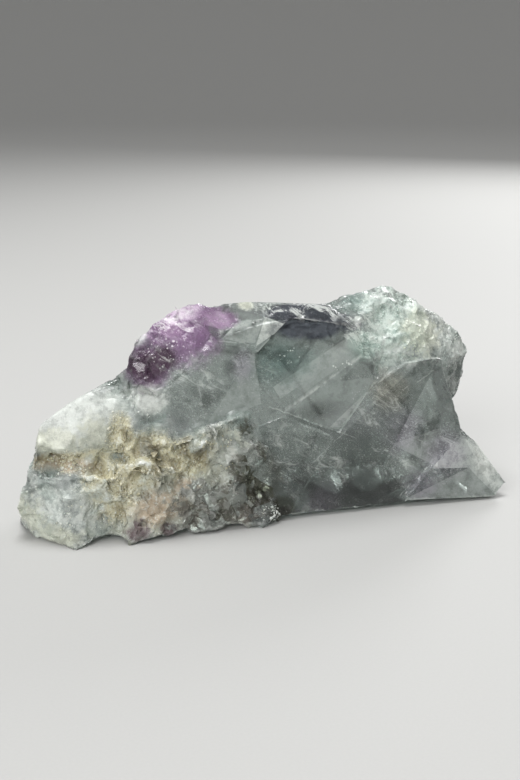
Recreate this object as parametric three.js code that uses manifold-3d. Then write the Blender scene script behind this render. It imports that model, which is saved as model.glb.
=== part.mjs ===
// A hand-sized fluorite specimen: one cleaved lump of clear, green and purple crystal with a frosted
// white left end, a tan granular crust low on its front and a sugary crest at its upper right.
// Millimetres, +Z up. The origin is at the middle of the footprint, on the floor.

import * as THREE from 'three';
import { ConvexGeometry } from 'three/addons/geometries/ConvexGeometry.js';
import { ImprovedNoise } from 'three/addons/math/ImprovedNoise.js';
import { MeshSurfaceSampler } from 'three/addons/math/MeshSurfaceSampler.js';
import { TessellateModifier } from 'three/addons/modifiers/TessellateModifier.js';
import { mergeVertices } from 'three/addons/utils/BufferGeometryUtils.js';
import Module from 'manifold-3d';

const wasm = await Module();
wasm.setup();

// Overall size of the stone.
const LENGTH = 120;
const DEPTH = 47;
const HEIGHT = 52;

// The two main cleavage planes lean towards each other. Each is given by where it meets the floor
// and how far it leans inwards for each millimetre of height.
const FRONT_FOOT = 4;
const FRONT_LEAN = 0.14;
const BACK_FOOT = 43;
const BACK_LEAN = 0.22;

// The ridge is the bright edge between the dark window facet and the grey facet below it. It runs
// up to the right across the front. Both facets fall away from it.
const RIDGE_START = { x: 51.4, z: 25.4 };
const RIDGE_END = { x: 71, z: 37 };
const RIDGE_PROUD = 0.8;
const WINDOW_TILT = 0.16;
const GREY_FACET_TILT = 0.12;
const CUT_REACH = 8;

// Rough skin: how far its lumps and grains stand out, their size, and the mesh step that carries them.
const SKIN_STEP = 5.2;
const SKIN_ROUNDS = 12;
const LUMP_SIZE = 8;
const GRAIN_SIZE = 3.1;
const GRAIN_SHARE = 0.6;
const FROSTED = 0.7;
const SUGARY = 1.3;
const CRUSTED = 2.2;

// Small grains grown on the front of the crust: their seed, numbers, radius and number of corners,
// the height that they start at, and how squarely the skin under them faces the front.
const GRAIN_SEED = 11;
const GRAINS = { left: 30, right: 24 };
const GRAIN_RADIUS = { small: 0.9, large: 2.6 };
const GRAIN_CORNERS = 9;
const GRAIN_LOWEST = 3;
const GRAIN_FACING = 0.5;

// Blocks that stand on the floor start this far below it, and are then cut off flat.
const SINK = 2;
const FLOOR_CUT = 300;

// A point on the front or back cleavage plane, or standing proud of it.
const front = (x, z, proud = 0) => new THREE.Vector3(x, FRONT_FOOT + FRONT_LEAN * z - proud, z);
const back = (x, z, proud = 0) => new THREE.Vector3(x, BACK_FOOT - BACK_LEAN * z + proud, z);
const at = (x, y, z) => new THREE.Vector3(x, y, z);
const floor = (x, y) => new THREE.Vector3(x, y, -SINK);

function welded(geometry) {
  geometry.deleteAttribute('normal');
  geometry.deleteAttribute('uv');
  return mergeVertices(geometry);
}

function solidFrom(geometry) {
  const mesh = welded(geometry);
  return new wasm.Manifold(new wasm.Mesh({
    numProp: 3,
    vertProperties: new Float32Array(mesh.attributes.position.array),
    triVerts: new Uint32Array(mesh.index.array),
  }));
}

function geometryFrom(solid) {
  const mesh = solid.getMesh();
  const geometry = new THREE.BufferGeometry();
  geometry.setAttribute('position', new THREE.BufferAttribute(mesh.vertProperties, 3));
  geometry.setIndex(new THREE.BufferAttribute(mesh.triVerts, 1));
  return geometry;
}

const noise = new ImprovedNoise();
const noiseAt = (p, size) => noise.noise(p.x / size, p.y / size, p.z / size);

// A convex lump with a rough skin: its faces are split into small ones and pushed in and out.
function roughGeometry(relief, corners) {
  const split = new TessellateModifier(SKIN_STEP, SKIN_ROUNDS).modify(new ConvexGeometry(corners));
  const skin = welded(split);
  skin.computeVertexNormals();
  const { position, normal } = skin.attributes;
  const point = new THREE.Vector3();
  const outward = new THREE.Vector3();
  for (let i = 0; i < position.count; i += 1) {
    point.fromBufferAttribute(position, i);
    outward.fromBufferAttribute(normal, i);
    const height = noiseAt(point, LUMP_SIZE) + GRAIN_SHARE * noiseAt(point, GRAIN_SIZE);
    point.addScaledVector(outward, relief * height);
    position.setXYZ(i, point.x, point.y, point.z);
  }
  return skin;
}

const cleavedBlock = (...corners) => solidFrom(new ConvexGeometry(corners));
const roughBlock = (relief, ...corners) => solidFrom(roughGeometry(relief, corners));

// Blocks of the front, from left to right.
const foot = roughBlock(
  SUGARY,
  floor(0.4, 0), floor(-7, 11), floor(-8, 26), floor(12, 3), floor(14, 34), at(0, -0.2, 1),
  at(-10.9, 12, 6), at(-9.3, 10, 12.4), at(-8, 8.5, 17), at(8, 2.2, 15.5), at(14, 4, 14),
  at(-2, 30, 17), at(14, 34, 16),
);
const whiteEnd = roughBlock(
  FROSTED,
  at(-7.6, 9.5, 17), at(11, 7.2, 15), at(18, 7, 20), at(-6.6, 9, 21.6), at(-4.4, 12, 26.8),
  at(0.2, 14, 28.8), at(5.6, 14, 31.7), at(11.4, 15, 34.6), at(15, 14, 37), at(19, 9, 32),
  at(-3, 27, 20), at(7, 30, 25), at(18, 30, 32), at(-6, 26, 8), at(20, 36, 10), at(24, 24, 34),
);
const saddle = roughBlock(
  FROSTED,
  at(11, 6.6, 19), at(17, 8.4, 33), at(23, 7.6, 31.5), at(26, 5.6, 21.5), at(14, 4.6, 19),
  at(14, 21, 19), at(18, 21, 32), at(26, 21, 30), at(28, 21, 20),
);
const purpleShoulder = roughBlock(
  FROSTED,
  front(21.6, 31.8, 1.2), front(15.8, 35.5, 0.8), at(14.6, 13, 37), at(15.7, 14, 40.2),
  at(17.7, 14, 43.8), at(20.2, 15, 45.7), at(23.9, 16, 47.1), at(27.3, 16, 49.7), at(30.9, 16, 51.6),
  at(34.6, 13.5, 50.6), at(41.9, 12, 47.8), front(38.3, 46, 0.9), front(31, 41, 0.9), front(29, 35.4, 0.85),
  at(24, 29, 36), at(33, 30, 45), at(50, 28, 47), at(52, 16, 49.8), at(24, 32, 26),
);
const heart = cleavedBlock(
  front(18, 18, 0.8), front(22, 31, 0.8), front(36, 43.5, 0.8), front(42, 45, 0.8), front(49, 48, 0),
  front(53, 46.6, 0.8), front(69.5, 44.4, 0.8), front(74, 37, 0.8), front(75.5, 30, 0.8),
  front(65.8, 18, 0.8), at(31, 16, 50), at(45.4, 14, 50.8), at(65.3, 14, 48.8),
  at(34, 28, 46.5), at(70, 28, 46), back(24, 36, -3), back(70, 40, -3), back(20, 6, -2), back(74, 6, -2),
  floor(22, 12), floor(72, 12),
);
const lowerSlab = cleavedBlock(
  front(36, 1.2, 0.6), front(84, 1, 0.6), front(70.5, 17, 0.6), front(51.4, 25.4, 0.6),
  front(44, 27, 0.6), front(36, 22, 0.6), floor(36, 11), floor(84, 12), at(40, 24, 22), at(76, 24, 10),
);
const veiledStep = cleavedBlock(
  front(40, 1.4, 1.3), front(51, 0.9, 1.3), front(56, 11.8, 1.2), front(63.5, 18.7, 0.9),
  front(51.4, 24.6, 0.9), front(42, 22, 1.3), at(40, 12, 2), at(60, 12, 3), at(50, 14, 22),
);
const rightSlab = cleavedBlock(
  front(70, 1.3, 0.6), front(65.4, 19.6, 0.6), front(74.9, 30.8, 0.6), front(83.2, 34.9, 0.6),
  front(92, 35.4, 0.6), front(96.2, 21.8, 0), front(99.2, 7.2, 0), front(99.5, 0.8, 0.4),
  floor(70, 12), floor(98, 14), at(72, 26, 28), at(90, 21, 33), at(94, 22, 20), at(97, 24, 4),
  at(70, 30, 2),
);
const toe = cleavedBlock(
  front(80.5, 1.8, 1.6), front(87.4, 8.8, 1.5), front(98, 8.2, 2.2), front(97, 16.4, 0.6),
  front(105, 0.6, 3), at(108.6, 2.6, 2.8), at(108, 3, 0.8), at(107.8, 5.6, 5), at(104.8, 7.8, 9.8),
  at(102.2, 8.6, 13.2), at(98.6, 9.4, 17), at(107, 8, 1), floor(84, 12), floor(100, 14), at(96, 15, 10),
);
const crest = roughBlock(
  SUGARY,
  front(70, 45.5, -0.6), front(72, 39, 0.4), front(76, 29.5, 0), front(83.4, 33.8, -0.4),
  front(91, 34.8, -1), front(88, 41, -2.2), front(79, 46.5, -2), at(64, 14, 48.4), at(70.8, 18, 49.4),
  at(82.4, 22, 52.2), at(87, 22, 49.6), at(93, 22, 46.2), at(96, 20, 42), at(64, 28, 45),
  back(70, 42, -2), back(82, 45, -1), back(96, 36, -3), back(90, 14, -6), back(72, 14, -4),
);
const rightBulge = roughBlock(
  SUGARY,
  at(88, 12, 38), at(86, 15, 44.5), at(90, 19, 47), at(95.3, 22, 44.6), at(100.2, 20, 42),
  at(102.8, 20, 39.2), at(106.2, 20, 33.7), at(105, 20, 27.2), at(102.4, 20, 20.4), at(97.5, 15, 24),
  at(95, 12.5, 33), at(100, 32, 37), at(106, 31, 30), at(101, 32, 19), at(86, 34, 16), at(84, 33, 42),
);
const crustLeft = roughBlock(
  CRUSTED,
  floor(12, 0), at(11.6, -0.6, 0.6), floor(31, 0.4), at(31, -0.4, 0.6), at(37, 1, 3), at(39, 2.6, 13.8),
  at(34, 4.4, 23.8), at(23.2, 3.8, 21), at(14, 3.6, 19), at(9, 4, 14), floor(13, 14), floor(38, 14),
  at(14, 12, 23), at(36, 12, 24),
);
const crustLedge = roughBlock(
  FROSTED,
  at(13.5, 2.4, 16.4), at(18, 0.9, 15.2), at(24.5, 1, 15), at(26.5, 2.2, 14.4), at(24, 2.6, 17.2),
  at(16, 3, 17.6), at(15, 8, 12), at(25, 8, 11), at(24, 8, 18), at(14, 8, 18),
);
const crustRight = roughBlock(
  CRUSTED,
  floor(28, 1), at(28, -0.2, 0.6), at(48.8, 1, 1.7), at(44.6, 2.2, 10), at(39.4, 2.8, 14), at(33, 4, 23),
  at(38, 4.8, 25.8), at(44, 5.6, 27), at(44, 4.6, 18), floor(30, 14), floor(48, 14), at(46, 12, 20),
  at(36, 12, 26),
);

// Blocks of the hidden back: one broad broken face, with two cleaved slabs left standing on it.
const brokenBack = roughBlock(
  SUGARY,
  floor(-5, 27), floor(4, 38), floor(60, 42), floor(93, 33), back(4, 2, -2), back(60, 2, 0.5),
  back(93, 3, -6), back(-1, 18, -8), back(14, 26, -4), back(30, 38, -3), back(66, 41, -2),
  back(84, 42, -2), back(97, 28, -6), at(-5, 18, 2), at(98, 18, 4), at(10, 18, 26), at(60, 18, 44),
  at(94, 18, 34),
);
const backSlab = cleavedBlock(
  back(22, 3, 1.8), back(64, 1.8, 2.6), back(70, 14, 2.4), back(58, 31, 2), back(36, 36, 1.4),
  back(20, 20, 1.2), floor(26, 36), floor(64, 36), at(60, 24, 36), at(34, 24, 34), at(24, 24, 8),
  at(66, 24, 8),
);
const backStep = cleavedBlock(
  back(60, 2, 0.8), back(88, 3, -2.4), back(92, 16, -4), back(80, 30, -1), back(68, 36, 0.6),
  back(62, 26, 1.2), floor(62, 30), floor(88, 30), at(66, 24, 32), at(86, 24, 26),
);
const sole = cleavedBlock(
  floor(3, 4), floor(-5, 14), floor(-5, 25), floor(4, 36), floor(60, 40), floor(90, 32), floor(97, 16),
  floor(60, 10), floor(36, 9), at(6, 8, 5), at(-2, 18, 5), at(8, 32, 5), at(60, 36, 5), at(88, 28, 5),
  at(94, 16, 5), at(60, 12, 5),
);

// Cleavage cuts. A facet is cut back from the ridge to a depth that grows with the distance from it.
const ridge = new THREE.Vector2(RIDGE_END.x - RIDGE_START.x, RIDGE_END.z - RIDGE_START.z).normalize();
const acrossRidge = (x, z) => ridge.x * (z - RIDGE_START.z) - ridge.y * (x - RIDGE_START.x);

function facetCut(tilt, outline) {
  const corners = outline.flatMap(([x, z]) => {
    const proud = RIDGE_PROUD - tilt * Math.abs(acrossRidge(x, z));
    return [front(x, z, proud), front(x, z, CUT_REACH)];
  });
  return cleavedBlock(...corners);
}

const windowCut = facetCut(WINDOW_TILT, [
  [RIDGE_START.x, RIDGE_START.z], [RIDGE_END.x, RIDGE_END.z], [72, 39.5], [69.5, 44.4],
  [56.6, 46.8], [53, 46.5], [45.8, 40], [45.2, 38], [46, 32],
]);
const greyFacetCut = facetCut(GREY_FACET_TILT, [
  [RIDGE_START.x, RIDGE_START.z], [RIDGE_END.x, RIDGE_END.z], [77, 34], [78, 26], [65.8, 14],
]);

// Small grains: each is the hull of a few points strewn over a ball, half sunk in the skin it grew on.
function seededRandom(seed) {
  let state = seed;
  return () => {
    state = (Math.imul(state, 1664525) + 1013904223) >>> 0;
    return state / 2 ** 32;
  };
}

const random = seededRandom(GRAIN_SEED);

function grainAt(place, radius) {
  const corners = Array.from({ length: GRAIN_CORNERS }, () => {
    const turn = 2 * Math.PI * random();
    const tilt = Math.acos(2 * random() - 1);
    return new THREE.Vector3().setFromSphericalCoords(radius, tilt, turn).add(place);
  });
  return cleavedBlock(...corners);
}

function grainsOn(skin, count) {
  const sampler = new MeshSurfaceSampler(new THREE.Mesh(geometryFrom(skin)));
  sampler.setRandomGenerator(random).build();
  const place = new THREE.Vector3();
  const outward = new THREE.Vector3();
  const grains = [];
  while (grains.length < count) {
    sampler.sample(place, outward);
    if (outward.y < -GRAIN_FACING && place.z > GRAIN_LOWEST) {
      const radius = THREE.MathUtils.lerp(GRAIN_RADIUS.small, GRAIN_RADIUS.large, random() ** 2);
      grains.push(grainAt(place, radius));
    }
  }
  return grains;
}

const grains = [...grainsOn(crustLeft, GRAINS.left), ...grainsOn(crustRight, GRAINS.right)];

const blocks = [
  foot, whiteEnd, saddle, purpleShoulder, lowerSlab, veiledStep, rightSlab, toe, crest, rightBulge,
  crustLeft, crustLedge, crustRight, brokenBack, backSlab, backStep, sole, ...grains,
];
const upperFront = heart.subtract(windowCut).subtract(greyFacetCut);
const grown = blocks.reduce((stone, piece) => stone.add(piece), upperFront);
const ground = new THREE.BoxGeometry(FLOOR_CUT, FLOOR_CUT, FLOOR_CUT).translate(0, 0, -FLOOR_CUT / 2);
const standing = geometryFrom(grown.subtract(solidFrom(ground)));

// The finished stone is brought to its overall size, with its footprint centred on the origin.
standing.computeBoundingBox();
const natural = standing.boundingBox.getSize(new THREE.Vector3());
const middle = standing.boundingBox.getCenter(new THREE.Vector3());
standing.translate(-middle.x, -middle.y, 0);
standing.scale(LENGTH / natural.x, DEPTH / natural.y, HEIGHT / natural.z);

const fluorite = new THREE.Mesh(
  standing,
  new THREE.MeshStandardMaterial({ color: 0x8f9a94, roughness: 0.35, metalness: 0 }),
);
fluorite.name = 'fluorite';

const specimen = new THREE.Group();
specimen.add(fluorite);

export default specimen;
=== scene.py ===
import math

import bmesh
import bpy
import numpy as np
from bpy.props import FloatProperty, FloatVectorProperty, IntProperty, PointerProperty
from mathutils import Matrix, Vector, noise


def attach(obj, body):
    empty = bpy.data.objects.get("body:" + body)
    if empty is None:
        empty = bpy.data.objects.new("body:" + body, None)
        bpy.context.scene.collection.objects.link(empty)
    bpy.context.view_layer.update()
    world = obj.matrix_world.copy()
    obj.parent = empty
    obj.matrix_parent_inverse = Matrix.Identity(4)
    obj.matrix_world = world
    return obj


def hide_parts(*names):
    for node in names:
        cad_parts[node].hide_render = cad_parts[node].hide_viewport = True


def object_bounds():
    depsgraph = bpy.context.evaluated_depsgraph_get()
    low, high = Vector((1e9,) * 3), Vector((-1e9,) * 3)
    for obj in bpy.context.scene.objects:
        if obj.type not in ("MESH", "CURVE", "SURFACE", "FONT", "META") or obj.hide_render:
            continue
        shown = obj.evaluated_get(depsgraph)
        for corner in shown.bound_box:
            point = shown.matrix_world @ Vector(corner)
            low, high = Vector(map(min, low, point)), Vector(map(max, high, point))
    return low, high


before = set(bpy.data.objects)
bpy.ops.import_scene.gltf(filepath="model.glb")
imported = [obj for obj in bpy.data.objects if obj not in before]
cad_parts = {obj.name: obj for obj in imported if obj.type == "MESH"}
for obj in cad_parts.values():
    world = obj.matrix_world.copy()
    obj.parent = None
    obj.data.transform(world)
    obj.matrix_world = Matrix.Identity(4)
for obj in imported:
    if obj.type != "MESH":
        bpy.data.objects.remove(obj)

bl_info = {
    "name": "Fluorite Specimen",
    "version": (1, 0, 0),
    "blender": (4, 5, 0),
    "location": "View3D > Sidebar > Fluorite",
    "description": "Dresses the packed fluorite solid as a cleaved, frosted and crusted crystal",
    "category": "Object",
}

MM = 0.001
NODE = "fluorite"
BODY = "root"
CAD_LOW, CAD_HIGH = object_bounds()

# Places on the stone are millimetres from its left end, from its front and from the floor, on a
# stone of this size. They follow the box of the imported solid.
DRAWN_SIZE = np.array((120.0, 47.0, 52.0))


def on_stone(place):
    """A place on the drawn stone, as a point in the frame."""
    share = np.array(place) / DRAWN_SIZE
    return np.array(CAD_LOW) + share * np.array(CAD_HIGH - CAD_LOW)


def srgb(red, green, blue):
    """A display colour, from 0 to 255, as the linear colour that a shader takes."""
    parts = np.array((red, green, blue)) / 255
    linear = np.where(parts <= 0.04045, parts / 12.92, ((parts + 0.055) / 1.055) ** 2.4)
    return tuple(float(part) for part in linear)


# Zones of colour and finish: round patches as (middle, half lengths), with the places as above.
ZONES = {
    "purple": [
        ((39.5, 14, 45), (10.5, 22, 9)), ((44, 36, 40), (9, 12, 6)), ((31, 11, 38), (6.5, 14, 6)),
        ((47, 14, 48), (6, 7, 4)),
    ],
    "deep": [((31, 10.5, 38), (6, 12, 5)), ((35, 11, 40), (4, 8, 4)), ((27, 11, 39), (4, 9, 4.5))],
    "lilac": [
        ((48.5, 13.5, 47.6), (5.5, 5, 2.8)), ((40, 16, 50), (6, 12, 3)), ((37, 12, 46), (4, 6, 3)),
    ],
    "green": [((63, 13, 37), (12, 8, 9)), ((85, 17, 48.5), (9, 12, 5)), ((68, 44, 30), (24, 14, 12))],
    "mint": [((94, 18, 43), (12, 24, 9)), ((85, 11, 40), (7, 8, 5))],
    "dusk": [
        ((71, 13, 44.6), (13, 6, 4)), ((68, 14.5, 48), (12, 5, 2.2)), ((62, 34, 45), (16, 10, 3.5)),
    ],
    # The patch at the right tip paints light on its upper facets; the others are white frost.
    "white": [((13, 16, 27), (17, 24, 9.5)), ((114, 8, 8), (5, 6, 6)), ((31, 11.5, 30.5), (5, 7, 4))],
    "sugar": [
        ((8, 14, 6), (14, 26, 9)), ((98, 17, 43), (19, 22, 12)), ((31, 11.5, 31), (6, 8, 4.5)),
        ((28, 17, 45), (5, 9, 4)), ((109, 18, 39), (9, 12, 6)), ((55.5, 15, 50.3), (2.5, 3, 1.6)),
        ((38, 15, 49.5), (8, 8, 3)), ((42, 4.5, 20), (4, 6, 3)), ((46.5, 4.5, 18), (5, 6, 5)),
        ((113, 17, 36), (6, 12, 7)), ((4, 30, 20), (8, 16, 12)),
    ],
    "silky": [((96, 18, 44), (18, 30, 14)), ((10, 12, 6), (14, 20, 10))],
    "tan": [
        ((28, 5, 20), (14, 10, 6)), ((39, 5, 18), (8, 9, 6)), ((24, 10, 23), (4, 7, 7)),
        ((12, 10, 18), (13, 8, 3)), ((25, 4, 13), (7, 8, 6)), ((21, 6, 10), (6, 8, 7)),
        ((18, 9, 17), (6, 7, 5)), ((20, 6, 13), (6, 8, 6)),
    ],
    "rust": [
        ((8.5, 11, 18.6), (6.5, 6, 1.8)), ((29.5, 4.8, 21), (3.5, 4, 1.8)),
        ((34, 3, 12), (2.5, 4, 1.5)),
    ],
    "pink": [((31, 3, 7), (8, 8, 5)), ((38, 3, 10), (5, 6, 4)), ((11, 10, 16.6), (9, 7, 2.2))],
    "plum": [((25.5, 1.5, 2.5), (3.5, 5, 3)), ((33, 2, 2), (3, 5, 2.5))],
    "plates": [((45, 3, 5), (13, 8, 8)), ((53, 4, 11), (8, 8, 12))],
    "olive": [((55.5, 4, 11.5), (7, 8, 9)), ((60, 5, 3), (5, 5, 4)), ((53.5, 5, 23), (3, 5, 3))],
    "crust": [((30, 3, 12), (20, 11, 14)), ((46, 4, 13), (12, 10, 13))],
    "violet": [
        ((103, 7, 12), (8, 12, 8)), ((72, 6, 4), (6, 10, 5)), ((93, 8, 18), (8, 8, 8)),
        ((97, 5, 5), (6, 6, 5)), ((53, 11, 37), (4, 6, 5)), ((83, 12, 44), (4, 5, 2)),
        ((90, 44, 14), (14, 12, 9)), ((40, 44, 14), (10, 12, 9)),
    ],
    "yellow": [
        ((101, 15, 41), (9, 12, 7)), ((55.5, 15, 50.3), (2.5, 3, 1.6)), ((10, 12, 22), (13, 10, 4)),
        ((2, 10, 5), (5, 14, 7)), ((22, 2, 2), (5, 6, 4)), ((7, 6, 2), (10, 10, 3.5)),
        ((19, 10, 23), (6, 7, 6)),
    ],
    # Painted shade where the clear crystal lies darkest, and painted shadow under the crest's
    # overhang.
    "shade": [
        ((82, 6, 5), (14, 8, 6)), ((81, 7, 15), (9, 6, 8)), ((111, 18, 26), (9, 14, 9)),
        ((50, 10, 36.9), (2, 4, 2.5)), ((72, 9, 25), (8, 4, 4)), ((43.9, 9.1, 30), (2.5, 4, 3)),
        ((66, 6, 9), (9, 6, 7)),
    ],
    "brown": [((90, 9, 28), (6, 5, 6))],
    "veil": [
        ((95, 7, 16), (9, 7, 7)), ((64, 7, 16), (10, 7, 9)), ((103, 7, 12), (7, 8, 9)),
        ((42, 10, 33), (9, 7, 9)), ((75.8, 6.3, 8.9), (3.5, 4, 3)), ((72, 6, 14), (8, 6, 7)),
        ((56, 10, 36), (7, 6, 7)), ((86, 12, 41), (8, 7, 6)), ((88, 8, 24), (9, 6, 8)),
        ((90, 8, 12), (9, 7, 6)), ((45, 38, 28), (22, 12, 18)), ((88, 40, 20), (12, 12, 10)),
        ((18, 40, 18), (14, 12, 14)),
    ],
    "streak": [
        ((67, 15.5, 49), (15, 5, 2.6)), ((37, 12, 46.5), (8, 8, 4)), ((86, 13, 43), (11, 8, 8)),
        ((73, 13.4, 47.2), (8, 5, 2.8)), ((35.4, 11.2, 40.4), (2.4, 3, 1.8)),
    ],
    "druse": [((59, 4, 3), (5, 5, 2.5))],
    # Painted glints, where broken crystal glitters.
    "painted_glint": [((36, 11, 41), (7, 8, 7)), ((65, 12, 38.3), (4, 4, 2.5)), ((78, 10, 35), (4, 4, 2))],
}

# Colours of the crystal, from the broadest zone to the smallest: the zone, its softness and share.
TINTS = (
    # The shade zone lays painted shade on the crystal.
    ("green", 1.0, 0.7), ("violet", 0.8, 0.5), ("shade", 0.8, 0.6), ("brown", 0.7, 0.7),
    ("plates", 0.4, 0.9), ("olive", 0.4, 1.0), ("dusk", 0.4, 0.9), ("purple", 0.5, 0.95),
    ("deep", 0.6, 0.95), ("lilac", 0.5, 0.8), ("mint", 0.6, 0.9), ("white", 0.6, 0.85),
    ("yellow", 0.6, 0.5), ("plum", 0.5, 0.8),
)

# Painted light and shade on single facets of the clear crystal: a place on the facet, and -1 to 1.
PAINTED_FACET_LIGHTS = (
    ((69, 11.3, 37.4), -0.05), ((75.5, 9.3, 27.7), 0.14), ((51, 9.5, 33.1), 0.02),
    ((82.6, 7.3, 16), -0.5), ((98.6, 7.7, 18.3), 0.06), ((61, 5.9, 10.7), -0.5),
    ((65.1, 7.1, 17.7), -0.5), ((65, 7.7, 21.3), -0.3), ((68.1, 6, 10.1), -0.35),
    ((104.6, 3.9, 3.1), 0.3), ((100.2, 4.7, 6), -0.25), ((105.2, 5.8, 11.1), 0.55),
    ((113.8, 5.3, 8.2), 0.8), ((114.5, 6.9, 9.9), 0.8), ((111.7, 4.9, 8.2), 0.6),
    ((71.1, 12.9, 47.1), -0.25), ((66.2, 14.9, 49.2), 0.1), ((60.7, 12.3, 43.3), 0.7),
    ((53.9, 12.5, 46.6), 0.15),
)
# A place on the facet that the painted light band lies on.
WINDOW = (69, 11.3, 37.4)

# Flat panes and thin cracks inside the clear crystal, as seen from the front: points as millimetres
# from the left end and from the floor. The panes run counter-clockwise, and have how much painted
# light they lay on the crystal; below 0 it is painted shade.
PANES = (
    (((56.4, 41.2), (64.6, 45.6), (59, 47.8)), 0.95),
    (((62, 28.5), (83, 39.8), (81.5, 42.6), (60.5, 31.3)), 0.42),
    (((44.6, 46.5), (47.5, 43), (50.4, 45.2)), -0.4),
    (((47.8, 43), (52.7, 42.4), (56, 41.4), (58.8, 47.3), (53, 47), (50.4, 45.2)), 0.4),
    (((77.7, 19.3), (98.7, 35.2), (94.3, 36.4), (74.3, 20.6)), 0.36),
    (((77.3, 31.6), (85.2, 31.6), (86.9, 36), (82.5, 36.6)), -0.42),
    (((89.6, 15.4), (101.3, 8.9), (103, 18.2)), 0.3),
    (((43.2, 23.8), (57.2, 27.9), (56.1, 40.2)), 0.26),
)
STROKES = (
    ((48.2, 43), (52.7, 42.4)), ((52.7, 42.4), (56, 41.4)), ((38.9, 35.8), (42.4, 33.2)),
    ((42.4, 33.2), (44, 35.9)), ((42.4, 33.2), (42.8, 29.8)), ((89.8, 25.1), (94.3, 28.9)),
    ((96.9, 29.6), (101, 32)), ((56.4, 41.2), (59, 47.6)), ((59.6, 26.9), (68.7, 22.8)),
    ((68.7, 22.8), (80.2, 17.9)), ((67.9, 12.1), (77.7, 19.3)), ((91.8, 3), (99.1, 8.8)),
)
# They are only drawn this near to the front.
PANE_DEPTH = 16


def length(name, description, millimetres, least=0.0):
    """A length that the user can change, given in millimetres."""
    return FloatProperty(
        name=name, description=description, default=millimetres * MM, min=least * MM,
        unit="LENGTH", precision=5,
    )


class StoneSettings(bpy.types.PropertyGroup):
    """Sizes of the fine mesh and of its relief."""

    fine_step: length("Fine step", "Longest mesh edge on rough skin and crystal edges", 0.76, 0.3)
    facet_step: length("Facet step", "Longest mesh edge on the flat facets", 1.5, 0.3)
    wear: length("Edge wear", "How far a crystal edge is worn back", 0.12)
    chip: length("Chip depth", "Depth of the chips along crystal edges", 0.45)
    facet_area: FloatProperty(
        name="Facet area", description="A flat face this large is a cleaved facet and stays flat",
        default=17.5 * MM * MM, unit="AREA", precision=6,
    )
    grains: IntProperty(
        name="Grains", description="How many small crystals are strewn over the skin",
        default=1800, min=1,
    )
    breaks: IntProperty(
        name="Breaks", description="How many small flat faces are broken into the rough skin",
        default=260, min=0,
    )
    seed: IntProperty(name="Seed", description="Seed of everything strewn at random", default=7)


def colour(name, description, red, green, blue):
    """A colour that the user can change, given as a display colour."""
    return FloatVectorProperty(
        name=name, description=description, default=srgb(red, green, blue),
        subtype="COLOR", size=3, min=0, max=1,
    )


class ColourSettings(bpy.types.PropertyGroup):
    """Colours of the crystal and of what grew on it."""

    clear: colour("Clear", "Clear crystal", 187, 195, 191)
    green: colour("Green", "Green growth band", 112, 147, 141)
    mint: colour("Mint", "Pale green crest", 186, 214, 202)
    purple: colour("Purple", "Purple growth band", 203, 160, 208)
    deep: colour("Deep purple", "Heart of the purple band", 82, 44, 74)
    lilac: colour("Lilac", "Pale top of the purple band", 242, 200, 244)
    dusk: colour("Dusk", "Blue-purple band along the top", 70, 70, 92)
    white: colour("White", "Frosted crystal", 241, 245, 239)
    violet: colour("Violet", "Violet-grey crystal", 184, 170, 192)
    yellow: colour("Yellow", "Yellowish frost", 226, 226, 198)
    # Shade colours the painted shade, and the random dark clouds in the crystal.
    shade: colour("Shade", "Darkest clear crystal", 58, 64, 62)
    brown: colour("Brown", "Brownish haze in the clear crystal", 196, 188, 172)
    plum: colour("Plum", "Small dark purple patches", 84, 60, 68)
    tan: colour("Tan", "Granular crust", 216, 209, 174)
    pink: colour("Pink", "Pinkish part of the crust", 202, 184, 160)
    olive: colour("Olive", "Dark part of the crust", 78, 76, 60)
    plates: colour("Plates", "Brownish glassy faces low in the crust", 148, 138, 126)
    stain: colour("Stain", "Brown stain in cracks and pits", 108, 90, 52)


class StageSettings(bpy.types.PropertyGroup):
    """The floor and the camera."""

    floor_colour: FloatVectorProperty(
        name="Floor", description="Colour of the floor", subtype="COLOR", size=3,
        default=srgb(184, 184, 182), min=0, max=1,
    )
    camera_place: FloatVectorProperty(
        name="Camera", description="Where the camera stands", subtype="XYZ", unit="LENGTH", size=3,
        default=(-0.09734, -0.29867, 0.11143), precision=5,
    )
    camera_azimuth: FloatProperty(
        name="Azimuth", description="Turn of the camera to the left of the front",
        default=math.radians(-18.349), subtype="ANGLE",
    )
    camera_elevation: FloatProperty(
        name="Elevation", description="How steeply the camera looks down",
        default=math.radians(15), subtype="ANGLE",
    )
    lens: FloatProperty(
        name="Lens", description="Focal length, on a 36 mm long side", default=61.73, unit="CAMERA",
    )


# Fine mesh

# Corners as near as this are joined, and edges as short as this are taken out.
WELD = 1e-7
SLIVER = 0.02 * MM
# Faces bent by less than this are one flat face, and edges bent by less lie within a facet.
FLATNESS = math.radians(0.7)
CREASE = math.radians(4)
# Most rounds in which long edges are split, and the height up to which a corner lies on the floor.
ROUNDS = 10
FLOOR = 1e-6


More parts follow.
